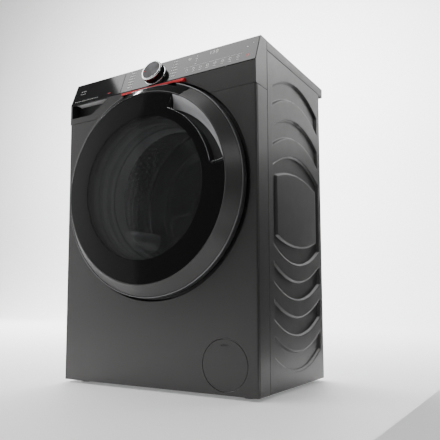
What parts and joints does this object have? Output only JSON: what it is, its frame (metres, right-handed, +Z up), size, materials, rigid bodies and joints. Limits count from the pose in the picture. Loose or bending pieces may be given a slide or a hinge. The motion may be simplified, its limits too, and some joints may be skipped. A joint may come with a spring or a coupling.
{
  "type": "front load washing machine",
  "caption": "Slim front load washing machine: round glazed door, slanted glass control panel with knob, detergent drawer, pressed side panels, and tub, drum, belt drive and suspension inside.",
  "frame": {"origin": "on the floor, under the middle of the machine's box", "axes": "+X to the viewer's right as one faces the door, -Y towards the viewer, +Z up"},
  "size_m": [0.597, 0.483, 0.85],
  "materials": {
    "graphite_paint": "fine metallic anthracite enamel, satin",
    "smoked_glass": "dark tinted polished cover",
    "clear_glass": "clear moulded bowl",
    "accent_red": "satin red",
    "black_plastic": "fine moulded texture",
    "grey_plastic": "moulded polypropylene",
    "white_plastic": "moulded polypropylene",
    "stainless": "fine brushed",
    "chrome": "polished",
    "zinc_steel": "zinc plated sheet",
    "cast_alloy": "as cast and machined",
    "concrete": "cast concrete ballast",
    "grey_rubber": "soft moulded seal",
    "black_rubber": "matte"
  },
  "bodies": {
    "cabinet": {"front_panel": "graphite_paint", "control_fascia": "graphite_paint", "touch_glass": "smoked_glass", "accent_strip": "accent_red", "control_module": "black_plastic", "side_panel_left": "graphite_paint", "side_panel_right": "graphite_paint", "rear_panel": "zinc_steel", "worktop": "graphite_paint", "rear_bracket": "black_plastic", "base_pan": "zinc_steel", "top_brace": "zinc_steel", "dispenser_housing": "white_plastic", "inlet_valve": "white_plastic", "drain_outlet": "black_plastic", "cable_gland": "black_plastic", "filter_housing": "grey_plastic", "drain_pump": "black_plastic", "sump_hose": "black_rubber", "door_lock": "black_plastic", "hinge_bracket": "zinc_steel", "hinge_pin": "stainless", "gasket": "grey_rubber", "tub_spring_left": "zinc_steel", "tub_spring_right": "zinc_steel", "damper_tube_left": "black_plastic", "damper_tube_right": "black_plastic"},
    "door": {"door_ring": "graphite_paint", "door_cover": "smoked_glass", "door_frame": "black_plastic", "door_glass": "clear_glass", "hinge_arm": "zinc_steel"},
    "door_latch": {"door_hook": "zinc_steel"},
    "programme_knob": {"knob_body": "black_plastic", "knob_ring": "chrome", "knob_cap": "cast_alloy"},
    "drawer": {"drawer_front": "smoked_glass", "drawer_tray": "white_plastic"},
    "flap": {"filter_flap": "graphite_paint"},
    "filter": {"filter_cap": "grey_plastic"},
    "tub": {"tub_front": "grey_plastic", "tub_rear": "grey_plastic", "front_counterweight": "concrete", "heater": "stainless", "drum_bearing": "stainless", "belt": "black_rubber", "motor": "zinc_steel", "damper_rod_left": "zinc_steel", "damper_rod_right": "zinc_steel"},
    "drum": {"drum": "stainless", "drum_lifter_1": "grey_plastic", "drum_lifter_2": "grey_plastic", "drum_lifter_3": "grey_plastic", "drum_spider": "cast_alloy", "drum_pulley": "cast_alloy"},
    "motor_rotor": {"motor_pulley": "cast_alloy"},
    "foot_front_left": {"foot_front_left": "black_rubber"},
    "foot_front_right": {"foot_front_right": "black_rubber"},
    "foot_rear_left": {"foot_rear_left": "black_rubber"},
    "foot_rear_right": {"foot_rear_right": "black_rubber"}
  },
  "joints": [
    {"name": "door_hinge", "type": "hinge", "parent": "cabinet", "child": "door", "pos_m": [-0.262, -0.2075, 0.502], "axis": [0, 0, -1], "range_deg": [0, 140]},
    {"name": "latch_tilt", "type": "hinge", "parent": "door", "child": "door_latch", "pos_m": [0.214, -0.2015, 0.502], "axis": [1, 0, 0], "range_deg": [-6, 6], "stiffness_Nm_per_rad": 0.8},
    {"name": "knob_turn", "type": "hinge", "parent": "cabinet", "child": "programme_knob", "pos_m": [-0.002, -0.1811, 0.81212], "axis": [0, -0.9289, 0.3702], "continuous": true},
    {"name": "drawer_slide", "type": "slide", "parent": "cabinet", "child": "drawer", "axis": [0, -1, 0], "range_m": [0, 0.2]},
    {"name": "flap_hinge", "type": "hinge", "parent": "cabinet", "child": "flap", "pos_m": [0.2125, -0.1935, 0.016], "axis": [1, 0, 0], "range_deg": [0, 90]},
    {"name": "filter_turn", "type": "hinge", "parent": "cabinet", "child": "filter", "pos_m": [0.2125, -0.1735, 0.0755], "axis": [0, 1, 0], "range_deg": [0, 90]},
    {"name": "tub_bounce", "type": "slide", "parent": "cabinet", "child": "tub", "axis": [0, 0, 1], "range_m": [-0.008, 0.008], "stiffness_N_per_m": 9000, "deforming": ["tub_spring_left", "tub_spring_right", "gasket", "sump_hose"]},
    {"name": "drum_spin", "type": "hinge", "parent": "tub", "child": "drum", "pos_m": [0, 0.0065, 0.502], "axis": [0, 1, 0], "continuous": true},
    {"name": "motor_spin", "type": "hinge", "parent": "tub", "child": "motor_rotor", "pos_m": [0, 0.1865, 0.16], "axis": [0, 1, 0], "continuous": true},
    {"name": "foot_front_left_turn", "type": "hinge", "parent": "cabinet", "child": "foot_front_left", "pos_m": [-0.255, -0.1415, 0.004], "axis": [0, 0, 1], "continuous": true},
    {"name": "foot_front_right_turn", "type": "hinge", "parent": "cabinet", "child": "foot_front_right", "pos_m": [0.255, -0.1415, 0.004], "axis": [0, 0, 1], "continuous": true},
    {"name": "foot_rear_left_turn", "type": "hinge", "parent": "cabinet", "child": "foot_rear_left", "pos_m": [-0.255, 0.1645, 0.004], "axis": [0, 0, 1], "continuous": true},
    {"name": "foot_rear_right_turn", "type": "hinge", "parent": "cabinet", "child": "foot_rear_right", "pos_m": [0.255, 0.1645, 0.004], "axis": [0, 0, 1], "continuous": true}
  ],
  "couplings": [
    {"joint": "motor_spin", "follows": "drum_spin", "ratio": 12.149}
  ]
}
